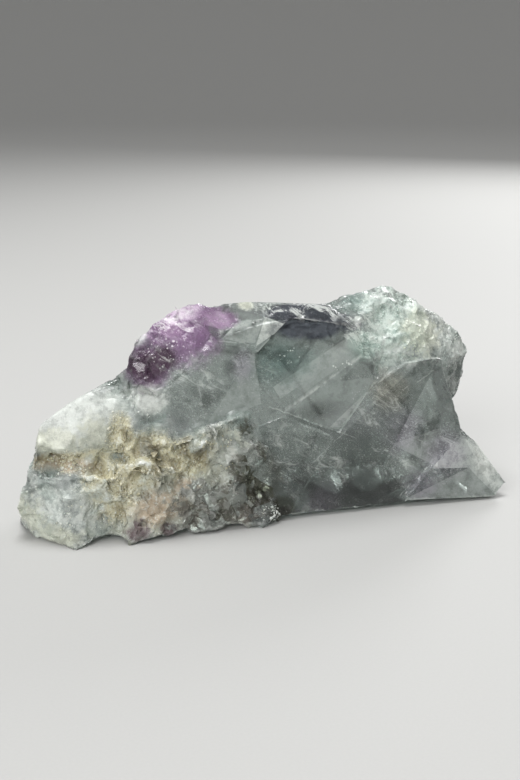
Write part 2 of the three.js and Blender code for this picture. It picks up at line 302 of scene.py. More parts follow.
def refined(settings):
    """Corners and triangles of the solid in fine steps, with the number of each triangle's facet.

    Triangles off the facets have the number 0. The middles of the facets come last.
    """
    work = bmesh.new()
    work.from_mesh(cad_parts[NODE].data)
    bmesh.ops.remove_doubles(work, verts=work.verts, dist=WELD)
    bmesh.ops.dissolve_limit(work, angle_limit=FLATNESS, verts=work.verts, edges=work.edges)
    bmesh.ops.dissolve_degenerate(work, dist=SLIVER, edges=work.edges)
    facet = work.faces.layers.int.new("facet")
    middles = []
    for face in work.faces:
        if face.calc_area() > settings.facet_area:
            middles.append(face.calc_center_median_weighted())
            face[facet] = len(middles)
    bmesh.ops.triangulate(work, faces=work.faces)

    def longest(edge):
        if max(vert.co.z for vert in edge.verts) < FLOOR and edge.calc_face_angle(0) < CREASE:
            return math.inf
        if edge.calc_face_angle(0) < CREASE and all(face[facet] for face in edge.link_faces):
            return settings.facet_step
        return settings.fine_step

    for _ in range(ROUNDS):
        long = [edge for edge in work.edges if edge.calc_length() > longest(edge)]
        if not long:
            break
        bmesh.ops.subdivide_edges(work, edges=long, cuts=1)
        bmesh.ops.triangulate(work, faces=[face for face in work.faces if len(face.verts) > 3])
    strays = [vert for vert in work.verts if not vert.link_faces]
    bmesh.ops.delete(work, geom=strays, context="VERTS")
    work.verts.index_update()
    corners = np.array([vert.co for vert in work.verts])
    triangles = np.array([[vert.index for vert in face.verts] for face in work.faces])
    facets = np.array([face[facet] for face in work.faces])
    work.free()
    return corners, triangles, facets, np.array(middles)


# A corner is held by a facet, or lies on a sharp edge, from these shares of its faces' directions on.
HELD_SHARE = 0.004
SHARP_SHARE = 0.012


class Skin:
    """A mesh of triangles as arrays, with what each corner learns from those around it."""

    def __init__(self, corners, triangles, facets, middles):
        self.corners = corners
        self.triangles = triangles
        self.facets = facets
        self.middles = middles
        sides = np.concatenate([triangles[:, (0, 1)], triangles[:, (1, 2)], triangles[:, (2, 0)]])
        self.pairs = np.unique(np.sort(sides, axis=1), axis=0)
        self.degree = np.bincount(self.pairs.ravel(), minlength=len(corners))
        self.freedom = self.find_freedom()

    def face_normals(self):
        a, b, c = (self.corners[self.triangles[:, i]] for i in range(3))
        return np.cross(b - a, c - a)

    def gather(self, values, index):
        """Sums of values over index, one row for each corner."""
        flat = values.reshape(len(values), -1)
        sums = [np.bincount(index, weights=column, minlength=len(self.corners)) for column in flat.T]
        return np.stack(sums, axis=1).reshape((-1,) + values.shape[1:])

    def normals(self):
        faces = self.face_normals()
        total = sum(self.gather(faces, self.triangles[:, i]) for i in range(3))
        return total / np.maximum(np.linalg.norm(total, axis=1), 1e-20)[:, None]

    def around(self, values):
        """Mean of the neighbours' values."""
        first, second = self.pairs.T
        total = self.gather(values[second], first) + self.gather(values[first], second)
        shape = (-1,) + (1,) * (values.ndim - 1)
        return total / self.degree.reshape(shape)

    def bulge(self):
        """How far each corner stands out of those around it."""
        return np.einsum("ni,ni->n", self.corners - self.around(self.corners), self.normals())

    def find_freedom(self):
        """For each corner, a matrix that keeps only motion within the facets that it lies on."""
        faces = self.face_normals()
        faces /= np.maximum(np.linalg.norm(faces, axis=1), 1e-20)[:, None]
        products = faces[:, :, None] * faces[:, None, :] * (self.facets > 0)[:, None, None]
        total = sum(self.gather(products, self.triangles[:, i]) for i in range(3))
        values, vectors = np.linalg.eigh(total)
        shares = values / np.maximum(values.sum(axis=1), 1e-9)[:, None]
        held = shares > HELD_SHARE
        self.held = held.sum(axis=1)
        self.sharp = shares[:, 1] > SHARP_SHARE
        free = vectors * ~held[:, None, :]
        return free @ np.swapaxes(vectors, 1, 2)

    def move(self, shift):
        """Moves the corners as far as they are free to. None goes below the floor."""
        self.corners = self.corners + np.einsum("nij,nj->ni", self.freedom, shift)
        self.corners[:, 2] = np.maximum(self.corners[:, 2], CAD_LOW.z)

    def facet_at(self, place):
        """Number of the facet whose middle is nearest to a place on the stone."""
        return 1 + np.argmin(np.linalg.norm(self.middles - on_stone(place), axis=1))

    def distance_from(self, marked, reach):
        """Distance along the mesh from the marked corners, up to reach."""
        far = np.where(marked, 0.0, reach)
        first, second = self.pairs.T
        spans = np.linalg.norm(self.corners[first] - self.corners[second], axis=1)
        for _ in range(math.ceil(3 * reach / spans.mean())):
            np.minimum.at(far, first, far[second] + spans)
            np.minimum.at(far, second, far[first] + spans)
        return far


def noise_field(places, size, octaves, offset=0.0):
    """Smooth noise, from about -1 to 1, with lumps of that size. An offset gives other lumps."""
    shifted = places / size + offset
    return np.array([noise.fractal(place, 1.0, 2.0, octaves) for place in shifted])


def zone_field(places, patches):
    """1 in the middle of a zone's patches, 0 on their rim and down to -1 outside them."""
    best = np.full(len(places), -1.0)
    scale = np.array(CAD_HIGH - CAD_LOW) / DRAWN_SIZE
    for middle, half in patches:
        away = (places - on_stone(middle)) / (np.array(half) * scale)
        best = np.maximum(best, 1 - np.linalg.norm(away, axis=1))
    return np.maximum(best, -1.0)


def zone_fields(places):
    """The fields of all zones, by name."""
    return {name: zone_field(places, patches) for name, patches in ZONES.items()}


def smoothstep(low, high, values):
    share = np.clip((values - low) / (high - low), 0, 1)
    return share * share * (3 - 2 * share)


# Small faces of broken crystal

# How steeply they are tilted, and how far they stand above each other, as shares of their size.
TILT = 0.8
STEP = 0.3
# Spreads their places so that neighbours are tilted in unlike ways.
SCATTER = 911


def crystal_relief(places, size, where):
    """Height of a surface of small flat faces about that far apart, each tilted its own way."""
    heights = np.zeros(len(places))
    for i in np.flatnonzero(where):
        place = Vector(places[i] / size)
        _, seeds = noise.voronoi(place)
        tilts = [noise.cell_vector(seed * SCATTER) - Vector((0.5, 0.5, 0.5)) for seed in seeds]
        faces = [
            TILT * tilt.dot(place - seed) + STEP * tilt.x for tilt, seed in zip(tilts, seeds)
        ]
        heights[i] = min(faces)
    return heights * size


def distance_to_line(places, line):
    """Distance of each place from a line through points on the stone."""
    points = [on_stone(point) for point in line]
    best = np.full(len(places), np.inf)
    for start, end in zip(points, points[1:]):
        along = end - start
        share = np.clip((places - start) @ along / (along @ along), 0, 1)
        best = np.minimum(best, np.linalg.norm(places - start - share[:, None] * along, axis=1))
    return best


def line_field(places, lines, ragged=0.7, warp=1.4):
    """1 on the lines and 0 at their widths, for lines given as (points, width in millimetres)."""
    widths = 1 + ragged * noise_field(places, 2.2 * MM, 2, offset=12.3)
    places = places + warp * MM * noise_field(places, 3 * MM, 2, offset=66.0)[:, None]
    best = np.zeros(len(places))
    for line, width in lines:
        share = distance_to_line(places, line) / (width * MM * widths)
        best = np.maximum(best, smoothstep(1, 0.2, share))
    return best


# Cracks and raised lips of the skin: points on the stone, and the width to either side.
CRACKS = [
    (((3, 12, 19), (8, 11, 19.4), (13, 10, 18.6), (16, 9.4, 18.8)), 0.8),
    (((26, 4.6, 20.4), (29, 4.6, 20.8), (33, 4.6, 19.6), (37, 3.6, 18)), 1.2),
    (((24, 2, 0), (24.5, 4, 8)), 1.0),
    (((24, 9, 28), (25, 9.4, 24), (24.4, 8, 20)), 0.8),
    (((46, 3, 24), (49, 3.6, 21), (50, 4, 17)), 0.9),
]
LIPS = [
    (((27, 4.4, 17.6), (29, 4, 17), (32, 3.4, 17.2), (35.5, 3.2, 15.8), (38.5, 3.4, 16.6)), 1.1),
    (((33, 5.4, 22.6), (40, 5.6, 23.4), (45, 6, 25.4)), 1.2),
    (((11, 8, 15), (14, 7.6, 13.6), (17, 7, 14.2)), 0.9),
    (((17.6, 6, 9), (18.4, 5.6, 8)), 1.2),
    (((38, 4.2, 18.6), (41, 4.6, 20.2), (45, 5, 22.4)), 1.3),
]
# A painted band of light across the clear crystal.
PAINTED_LIGHT_BANDS = [(((68, 10, 32.2), (72, 10, 34.4), (83, 10, 39.8)), 4.4)]
CRACK_DEPTH = 1.1 * MM
LIP_HEIGHT = 0.8 * MM

# Lumps and hollows of the skin: a place on the stone, and the reach and height in millimetres.
LUMPS = [
    ((47.7, 4.5, 16.4), 2.6, 1.1), ((45, 4.6, 19.4), 2.4, 0.9), ((51.5, 4.5, 23), 4.5, 0.7),
    ((55.5, 3.5, 11.5), 6.5, -1.4), ((29, 4.6, 21), 3.2, -1.1), ((38, 3, 9), 4.5, 0.8),
    ((44, 3.2, 7), 4, 0.8), ((50, 3.2, 5), 4, 0.6), ((12, 5, 10), 6, 0.8), ((8, 11, 18.4), 5, -1.2),
    ((29, 15, 44), 4, 0.8), ((21.5, 8.5, 15), 4, 1.6), ((31, 2.6, 12), 3.5, -0.6),
    ((6, 10.5, 17.5), 2.5, 0.7), ((12, 10, 17), 2.2, 0.8), ((16.5, 9.2, 17.6), 2.4, 0.8),
    ((22.4, 9.1, 15.6), 2.2, 1.2), ((41.1, 4.5, 19.9), 3, 0.8),
]

# Single flat faces broken into the rough skin: a place on the stone, the way that the face looks,
# and how far it reaches.
BREAKS = [
    ((47.4, 13.2, 48.0), (0.12, -0.6, 0.8), 5.5),
    ((38, 11.6, 42.4), (-0.15, -0.9, 0.3), 6.0),
    ((13, 3.2, 5.5), (-0.25, -0.96, 0.12), 6.5),
    ((12, 12.2, 27), (-0.35, -0.85, 0.38), 8.0),
    ((5, 7, 9), (-0.62, -0.74, 0.26), 5.0),
    ((17.5, 4, 4), (0.2, -0.97, 0.12), 4.0),
    ((43.5, 3, 6), (0.25, -0.95, 0.18), 5.0),
    ((36.5, 2.6, 4.5), (-0.3, -0.93, 0.2), 4.5),
    ((51.5, 3.6, 7), (0.1, -0.96, -0.25), 4.0),
    ((52.5, 4.6, 22.5), (0.1, -0.9, 0.42), 4.0),
    ((34, 10.8, 38), (-0.3, -0.95, 0.05), 4.0),
    ((43, 12, 44), (0.22, -0.93, 0.3), 5.0),
]
BREAK_DEPTH = 0.4 * MM
SMALL_BREAK_DEPTH = 0.2 * MM
# A corner that stands further than this out of those around it is broken off, in so many rounds.
PROUD = 0.16 * MM
SPIKE_ROUNDS = 5


def flatten(skin, normals, corner, direction, reach, depth, share):
    """Breaks a flat face into the skin round a corner, as deep there as depth."""
    away = skin.corners - skin.corners[corner]
    near = smoothstep(1, 0.7, np.linalg.norm(away, axis=1) / reach)
    over = np.maximum(away @ direction + depth, 0) * (normals @ direction > 0.3)
    skin.move(-direction * (over * near * share)[:, None])


def break_faces(skin, rough, smooth, settings):
    """Breaks the listed faces into the skin, and small ones at random where it isn't smooth."""
    random = np.random.default_rng(settings.seed)
    normals = skin.normals()
    coarse = np.flatnonzero((rough > 0.9) & (smooth < 0.5))
    for corner in random.choice(coarse, size=settings.breaks):
        direction = normals[corner] + random.normal(scale=0.22, size=3)
        direction /= np.linalg.norm(direction)
        reach = random.uniform(1.6, 3.8) * MM
        flatten(skin, normals, corner, direction, reach, SMALL_BREAK_DEPTH, rough)
    for place, looks, reach in BREAKS:
        corner = np.argmin(np.linalg.norm(skin.corners - on_stone(place), axis=1))
        direction = np.array(Vector(looks).normalized())
        flatten(skin, normals, corner, direction, reach * MM, BREAK_DEPTH, rough)


def break_spikes(skin):
    """Breaks off what stands out of the skin as a spike."""
    for _ in range(SPIKE_ROUNDS):
        skin.move(-skin.normals() * np.maximum(skin.bulge() - PROUD, 0)[:, None])


def lump_field(places):
    """Height of the lumps and hollows."""
    heights = np.zeros(len(places))
    for middle, reach, height in LUMPS:
        share = np.linalg.norm(places - on_stone(middle), axis=1) / (reach * MM)
        heights += height * MM * smoothstep(1, 0.1, share)
    return heights


# Rounds in which the steps between the facets are evened out.
SMOOTHINGS = 24
# How ragged the raised lips are, and how far they wander, in millimetres.
LIP_LINE = (0.3, 0.6)
# A hollow this deep counts in full, once it is spread over so many rounds of neighbours.
HOLLOW_DEPTH = 0.12 * MM
HOLLOW_ROUNDS = 4


class Kinds:
    """How crusted, sugary, smooth and silky the skin is at each place, from 0 to 1."""

    def __init__(self, places):
        def share(name, soft):
            return smoothstep(-0.1, soft, zone_field(places, ZONES[name]))

        self.crusted = share("crust", 0.3)
        self.sugary = share("sugar", 0.4)
        smooth = np.maximum(share("white", 0.4), 0.45 * share("purple", 0.4))
        self.smooth = smooth * (1 - self.crusted)
        self.silky = share("silky", 0.3) * (1 - self.crusted)


def smooth_skin(skin, kinds):
    """Evens out the steps of the solid between its facets, least where the skin is coarse."""
    loose = np.zeros(len(skin.corners))
    loose[skin.triangles[skin.facets == 0]] = 1
    held = np.maximum(np.maximum(kinds.crusted, kinds.sugary), 1.2 * kinds.silky)
    for _ in range(SMOOTHINGS):
        shift = skin.around(skin.corners) - skin.corners
        skin.move(shift * (loose * (0.5 - 0.35 * held))[:, None])


def skin_relief(places, rough, kinds):
    """Height of the relief at each place, and where it is cracked."""
    where = rough > 0
    lumps = noise_field(places, 4.5 * MM, 3)
    grit = noise_field(places, 1.3 * MM, 3, offset=31.7)
    coarse = crystal_relief(places - 0.1, 5 * MM, where)
    broken = crystal_relief(places, 2.6 * MM, where)
    sharp = crystal_relief(places + 0.1, 1.3 * MM, where)
    calm = np.maximum(kinds.smooth, 0.6 * kinds.silky)
    height = (coarse * 0.35 + broken * 0.35 + sharp * 0.2) * (1 - 0.8 * calm)
    height += 0.15 * MM * lumps + 0.04 * MM * grit
    height += kinds.sugary * (broken * 0.15 + sharp * 0.08)
    height += kinds.crusted * (0.15 * MM * lumps + 0.1 * MM * grit + 0.35 * coarse + 0.25 * broken)
    pits = smoothstep(0.25, 0.6, noise_field(places, 3.2 * MM, 2, offset=77.0))
    pitted = (0.2 + kinds.crusted + 0.3 * kinds.sugary) * (1 - kinds.smooth)
    height -= pitted * 0.6 * MM * pits
    gaps = smoothstep(-0.35, 0.25, noise_field(places, 3.4 * MM, 2, offset=53.0))
    cracks = line_field(places, CRACKS) * gaps
    height -= CRACK_DEPTH * cracks
    height += LIP_HEIGHT * line_field(places, LIPS, *LIP_LINE) * (0.5 + 0.5 * gaps)
    return height + lump_field(places), cracks


def wear_edges(skin, edge_far, standing, settings):
    """Wears the crystal edges back, and chips them here and there."""
    chipped = smoothstep(0.12, 0.5, noise_field(skin.corners, 2.6 * MM, 3, offset=5.1))
    worn = settings.wear * smoothstep(0.9 * MM, 0, edge_far)
    worn += settings.chip * chipped * smoothstep(1.4 * MM, 0.2 * MM, edge_far)
    skin.corners = skin.corners - skin.normals() * (worn * standing)[:, None]
    skin.corners[:, 2] = np.maximum(skin.corners[:, 2], CAD_LOW.z)


def facet_lights(skin, settings):
    """Painted light and shade on the named facets, as listed; the other facets are lighter or darker
    by chance.
    """
    random = np.random.default_rng(settings.seed)
    lights = np.concatenate([[0], random.uniform(-0.3, 0.2, size=len(skin.middles))])
    for place, light in PAINTED_FACET_LIGHTS:
        lights[skin.facet_at(place)] = light
    return lights[skin.facets]


def skin_masks(skin, rough, edge_far, cracks, settings):
    """What the material reads: a number on each corner or on each triangle."""
    hollow = -skin.bulge()
    for _ in range(HOLLOW_ROUNDS):
        hollow = skin.around(hollow)
    on_window = skin.facets == skin.facet_at(WINDOW)
    masks = zone_fields(skin.corners)
    masks["rough"] = rough
    # Near the crystal edges: frosted as wear, and lit up as painted highlight.
    masks["edge"] = smoothstep(0.7 * MM, 0, edge_far)
    masks["hollow"] = np.clip(hollow / HOLLOW_DEPTH, -1, 1)
    masks["crack"] = cracks * rough
    masks["lip"] = line_field(skin.corners, LIPS, *LIP_LINE) * rough
    # Painted light and shade on the facets, and the painted light band on the window facet.
    masks["light"] = facet_lights(skin, settings)
    masks["painted_light_band"] = on_window * line_field(skin.corners, PAINTED_LIGHT_BANDS)[skin.triangles].mean(axis=1)
    return masks


def dressed_skin(settings):
    """The fine mesh with its rough skin, cleaved faces and worn edges, and its masks."""
    skin = Skin(*refined(settings))
    standing = skin.corners[:, 2] > CAD_LOW.z + FLOOR
    crystal_edge = skin.sharp & standing & (skin.bulge() > 0)
    rough = smoothstep(0, 1.6 * MM, skin.distance_from(skin.held > 0, 3 * MM))
    kinds = Kinds(skin.corners)
    smooth_skin(skin, kinds)
    height, cracks = skin_relief(skin.corners, rough, kinds)
    skin.move(skin.normals() * (height * rough)[:, None])
    break_faces(skin, rough, kinds.smooth, settings)
    break_spikes(skin)
    edge_far = skin.distance_from(crystal_edge, 2.5 * MM)
    wear_edges(skin, edge_far, standing, settings)
    return skin, skin_masks(skin, rough, edge_far, cracks, settings)


# Grains

# An octahedron, the shape that fluorite breaks into.
GRAIN_CORNERS = np.array([
    (1.0, 0, 0), (-1, 0, 0), (0, 1, 0), (0, -1, 0), (0, 0, 1), (0, 0, -1),
])
GRAIN_FACES = np.array([
    (0, 2, 4), (2, 1, 4), (1, 3, 4), (3, 0, 4), (2, 0, 5), (1, 2, 5), (3, 1, 5), (0, 3, 5),
])
GRAIN_SMALL = 0.12 * MM
GRAIN_LARGE = 0.46 * MM


def random_turns(count, random):
    """Rotation matrices spread evenly over all turns."""
    quaternions = random.normal(size=(count, 4))
    w, x, y, z = (quaternions / np.linalg.norm(quaternions, axis=1)[:, None]).T
    rows = [
        1 - 2 * (y * y + z * z), 2 * (x * y - z * w), 2 * (x * z + y * w),
        2 * (x * y + z * w), 1 - 2 * (x * x + z * z), 2 * (y * z - x * w),
        2 * (x * z - y * w), 2 * (y * z + x * w), 1 - 2 * (x * x + y * y),
    ]
    return np.stack(rows, axis=1).reshape(-1, 3, 3)


def strewn_grains(skin, masks, settings):
    """Corners, triangles and masks of the small crystals grown on the rough skin."""
    random = np.random.default_rng(settings.seed)
    clusters = smoothstep(-0.05, 0.4, noise_field(skin.corners, 5 * MM, 3, offset=19.0))
    wanted = 0.15 * smoothstep(0, 0.4, masks["sugar"]) + 0.5 * smoothstep(0, 0.4, masks["tan"])
    wanted = wanted * clusters ** 2 + 0.4 * smoothstep(0, 0.5, masks["druse"])
    wanted *= masks["rough"] ** 2 * (skin.corners[:, 2] > CAD_LOW.z + 1.2 * MM)
    faces = skin.face_normals()
    weight = np.linalg.norm(faces, axis=1) * wanted[skin.triangles].mean(axis=1)
    picks = random.choice(len(weight), size=settings.grains, p=weight / weight.sum())
    shares = random.dirichlet((1, 1, 1), size=len(picks))
    middles = np.einsum("ni,nij->nj", shares, skin.corners[skin.triangles[picks]])
    size = GRAIN_SMALL + (GRAIN_LARGE - GRAIN_SMALL) * random.random(len(picks)) ** 3
    stretch = random.uniform(0.7, 1.25, size=(len(picks), 3)) * size[:, None]
    shapes = GRAIN_CORNERS[None] * stretch[:, None, :]
    corners = np.einsum("nij,nkj->nki", random_turns(len(picks), random), shapes) + middles[:, None]
    corners[:, :, 2] = np.maximum(corners[:, :, 2], CAD_LOW.z + 0.2 * MM)
    triangles = GRAIN_FACES[None] + len(GRAIN_CORNERS) * np.arange(len(picks))[:, None, None]
    values = zone_fields(middles)
    values["tone"] = random.random(len(picks))
    masks = {name: np.repeat(value, len(GRAIN_CORNERS)) for name, value in values.items()}
    return corners.reshape(-1, 3), triangles.reshape(-1, 3), masks


def mesh_from(name, corners, triangles, masks):
    """A mesh from arrays, with a number on each corner or each triangle for each mask."""
    mesh = bpy.data.meshes.new(name)
    mesh.vertices.add(len(corners))
    mesh.vertices.foreach_set("co", np.asarray(corners, dtype=np.float32).ravel())
    mesh.loops.add(triangles.size)
    mesh.loops.foreach_set("vertex_index", np.asarray(triangles, dtype=np.int32).ravel())
    mesh.polygons.add(len(triangles))
    mesh.polygons.foreach_set("loop_start", np.arange(0, triangles.size, 3, dtype=np.int32))
    for mask, values in masks.items():
        domain = "POINT" if len(values) == len(corners) else "FACE"
        layer = mesh.attributes.new(mask, "FLOAT", domain)
        layer.data.foreach_set("value", np.asarray(values, dtype=np.float32))
    mesh.update(calc_edges=True)
    mesh.validate()
    return mesh


# Materials


class Wire:
    """A socket in a material. Sums on wires add the Math nodes that work them out."""

    def __init__(self, finish, socket):
        self.finish = finish
        self.socket = socket

    def __add__(self, other):
        return self.finish.sum("ADD", self, other)

    def __radd__(self, other):
        return self.finish.sum("ADD", other, self)

    def __sub__(self, other):
        return self.finish.sum("SUBTRACT", self, other)

    def __rsub__(self, other):
        return self.finish.sum("SUBTRACT", other, self)

    def __mul__(self, other):
        return self.finish.sum("MULTIPLY", self, other)

    def __rmul__(self, other):
        return self.finish.sum("MULTIPLY", other, self)


class Finish:
    """A material that is being written."""

    def __init__(self, name):
        self.material = bpy.data.materials.new(name)
        self.material.use_nodes = True
        self.tree = self.material.node_tree
        self.tree.nodes.clear()

    def node(self, kind, settings=None, inputs=None, output=0):
        """Adds a node: its settings first, then the values or wires of its sockets."""
        made = self.tree.nodes.new(kind)
        for key, value in (settings or {}).items():
            setattr(made, key, value)
        for key, value in (inputs or {}).items():
            if isinstance(value, Wire):
                self.tree.links.new(value.socket, made.inputs[key])
            else:
                made.inputs[key].default_value = value
        return Wire(self, made.outputs[output]) if made.outputs else None

    def sum(self, operation, first, second):
        return self.node("ShaderNodeMath", {"operation": operation}, {0: first, 1: second})

    def highest(self, first, *others):
        for other in others:
            first = self.sum("MAXIMUM", first, other)
        return first

    def dot(self, place, direction):
        inputs = {0: place, 1: direction}
        return self.node("ShaderNodeVectorMath", {"operation": "DOT_PRODUCT"}, inputs, "Value")

    def across(self, place, start, end):
        """How far a place is to the left of the line from start to end, as seen from the front."""
        start, end = (Vector(on_stone((along, 0, up))) for along, up in (start, end))
        left = Vector((0, -1, 0)).cross(end - start).normalized()
        return self.dot(place, left) - left.dot(start)

    def pane(self, place, points):
        """1 inside a pane and 0 outside it."""
        inside = 1.0
        for start, end in zip(points, points[1:] + points[:1]):
            inside = self.sum("MINIMUM", inside, self.across(place, start, end))
        return self.ramp(inside, -0.1 * MM, 0.12 * MM)

    def stroke(self, place, start, end, wobble):
        """1 on a thin straight crack and 0 off it."""
        aside = self.sum("ABSOLUTE", self.across(place, start, end) + wobble, 0.0)
        middle = tuple((a + b) / 2 for a, b in zip(start, end))
        turned = (middle[0] - end[1] + start[1], middle[1] + end[0] - start[0])
        along = self.sum("ABSOLUTE", self.across(place, middle, turned), 0.0)
        beyond = along - math.dist(start, end) / 2 * MM
        return self.ramp(self.highest(aside, beyond * 0.3), 0.28 * MM, 0.05 * MM)

    def mask(self, name):
        """A mask of the mesh."""
        return self.node("ShaderNodeAttribute", {"attribute_name": name}, output="Fac")

    def place(self, stretch=(1, 1, 1), turn=(0, 0, 0)):
        """The place on the stone, for textures that are turned and then stretched."""
        here = self.node("ShaderNodeTexCoord", output="Object")
        return self.node(
            "ShaderNodeMapping", {"vector_type": "TEXTURE"},
            {"Vector": here, "Scale": stretch, "Rotation": turn},
        )

    def noise(self, place, size, detail=2.0, rough=0.5, warp=0.0):
        return self.node("ShaderNodeTexNoise", None, {
            "Vector": place, "Scale": 1 / size, "Detail": detail, "Roughness": rough,
            "Distortion": warp,
        })

    def cells(self, place, size, output="Distance"):
        return self.node("ShaderNodeTexVoronoi", None, {"Vector": place, "Scale": 1 / size}, output)

    def ramp(self, value, low, high, start=0.0, end=1.0):
        """Runs smoothly from start to end while the value goes from low to high."""
        inputs = {"Value": value, "From Min": low, "From Max": high, "To Min": start, "To Max": end}
        return self.node("ShaderNodeMapRange", {"interpolation_type": "SMOOTHSTEP"}, inputs)

    def blend(self, first, second, share):
        """A colour between two, by share."""
        first, second = (c if isinstance(c, Wire) else (*c, 1.0) for c in (first, second))
        return self.node(
            "ShaderNodeMix", {"data_type": "RGBA", "clamp_factor": True},
            {0: share, 6: first, 7: second}, output=2,
        )

    def layered(self, base, *layers):
        """A colour with others laid over it, each given as (colour, share)."""
        for layer, share in layers:
            base = self.blend(base, layer, share)
        return base

    def bump(self, height, strength, distance, normal=None):
        inputs = {"Height": height, "Strength": strength, "Distance": distance}
        if normal is not None:
            inputs["Normal"] = normal
        return self.node("ShaderNodeBump", None, inputs)

    def end(self, **shaders):
        """Links the shaders to the material's output, and gives the material."""
        self.node("ShaderNodeOutputMaterial", None, shaders)
        return self.material


# Slopes of the cleavage lines on the front, in radians.
CLEAVAGES = (-0.534, 0.384, -0.87)
FLUORITE_IOR = 1.434
# Zones that fade out softly, and zones that end in grains. The others end along broken faces.
SOFT_ZONES = ("white", "sugar", "deep", "purple", "lilac")
GRANULAR_ZONES = ("tan", "rust", "pink", "crust", "silky")


class CrystalFinish(Finish):
    """Clear and tinted crystal, frosted and crusted where it is broken."""

    def __init__(self, colours):
        super().__init__("fluorite_crystal")
        self.colours = colours
        self.here = self.place()
        self.clouds = self.noise(self.here, 7 * MM, 5, 0.6)
        self.mottle = self.noise(self.here, 2.8 * MM, 7, 0.72)
        self.grain = self.noise(self.here, 1.1 * MM, 4, 0.65)
        self.speckle = self.noise(self.here, 0.55 * MM, 2, 0.6)
        self.fine = self.noise(self.here, 0.35 * MM, 3, 0.6)
        self.wisps = self.noise(self.place((1, 1, 0.45), (0.2, 0.5, 0.4)), 5 * MM, 9, 0.78, 0.8)
        large, small = (self.cells(self.here, size, "Color") for size in (2.6 * MM, 1.1 * MM))
        self.shards = 0.5 * large + 0.5 * small
        self.rough = self.mask("rough")
        self.hollow = self.mask("hollow")
        self.ragged = 0.7 * (self.clouds - 0.5) + 0.4 * (self.grain - 0.5)
        self.broken = self.ragged + self.rough * 0.8 * (self.shards - 0.5)
        self.granular = 0.6 * (self.clouds - 0.5) + 0.6 * (self.mottle - 0.5) + 0.4 * (self.fine - 0.5)

    def zone(self, name, soft=0.45):
        """1 in a zone and 0 outside it."""
        rim = self.broken
        if name in SOFT_ZONES:
            rim = self.ragged
        if name in GRANULAR_ZONES:
            rim = self.granular
        return self.ramp(self.mask(name) + rim, -0.05, soft)

    def seen_inside(self):
        """The painted light and shade of the facets and panes, and the thin cracks inside the crystal.
        """
        last = on_stone((0, PANE_DEPTH, 0))[1]
        front = self.ramp(self.dot(self.here, (0, 1, 0)), last, last - MM)
        light = self.mask("light")
        for points, shade in PANES:
            light = light + self.pane(self.here, points) * front * shade
        wobble = (self.grain - 0.5) * 0.9 * MM
        strokes = self.highest(*(self.stroke(self.here, *ends, wobble) for ends in STROKES))
        return light, strokes * front * self.ramp(self.mottle, 0.35, 0.55)

    def tint(self, light):
        """Colour of the crystal, with painted shade on dark facets and panes and in the shade zones.
        """
        colours = self.colours
        minty = self.rough * self.ramp(self.clouds, 0.46, 0.6)
        bands = [
            (getattr(colours, name), self.zone(name, soft) * share) for name, soft, share in TINTS
        ]
        plates = self.cells(self.here, 5 * MM, "Color")
        crystalline = self.rough * (1 - self.zone("white", 0.4))
        crystalline = crystalline * (1 - 0.6 * self.highest(self.zone("purple"), self.zone("silky")))
        return self.layered(
            colours.clear,
            (colours.mint, minty * 0.3),
            *bands,
            (colours.clear, self.zone("plates") * self.ramp(plates, 0.54, 0.57) * 0.6),
            (colours.olive, self.zone("plates") * self.ramp(plates, 0.47, 0.44) * 0.6),
            # Painted shade on the dark facets and panes.
            (colours.shade, light * -1),
            (colours.shade, self.ramp(self.clouds, 0.5, 0.28) * (0.6 - 0.35 * self.rough)),
            (colours.shade, self.ramp(self.mottle, 0.5, 0.36) * (0.2 - 0.1 * self.rough)),
            (colours.shade, crystalline * self.ramp(self.shards, 0.45, 0.25) * 0.22),
            (colours.white, crystalline * self.ramp(self.shards, 0.55, 0.75) * 0.4),
        )

    def cleavage_lines(self):
        """Thin lines along the planes that the crystal splits on."""
        lines = []
        for slope in CLEAVAGES:
            streaks = self.noise(self.place((30, 30, 1), (0, slope, 0)), 1.6 * MM, 2)
            lines.append(self.ramp(streaks, 0.66, 0.74))
        return self.highest(*lines) * self.ramp(self.mottle, 0.46, 0.62)

    def dust_and_glints(self):
        """Fine dust, and painted glints where broken crystal glitters."""
        dusty = self.mottle + 0.4 * self.zone("veil", 0.6)
        dust = self.ramp(self.fine, 0.55, 0.66) * self.ramp(dusty, 0.5, 0.66)
        painted_glints = []
        for size in (0.7 * MM, 1.3 * MM):
            near = self.ramp(self.cells(self.here, size) + 0.4 * (self.fine - 0.5), 0.32, 0.16)
            lit = self.ramp(self.cells(self.here, size, "Color"), 0.5, 0.56)
            painted_glints.append(near * lit)
        return self.highest(dust * 0.5, self.highest(*painted_glints) * self.zone("painted_glint", 0.5))

    def sugar(self):
        """Sugary frost, in patches."""
        patchy = self.ramp(0.7 * self.mottle + 0.3 * self.grain, 0.38, 0.58, 0.32, 0.85)
        return self.zone("sugar", 0.4) * self.highest(patchy, 0.55 * self.zone("yellow"))

    def frost(self, light, strokes, sugar, dust_and_glints):
        """How frosted the crystal is, with painted light, glints and edge highlights laid in as frost.
        """
        mottle, grain, wisps = self.mottle, self.grain, self.wisps
        ridges = self.rough * self.ramp(self.hollow + 0.8 * (grain - 0.5), 0.1, -0.5)
        dark = self.highest(self.zone("purple"), self.zone("olive", 0.3))
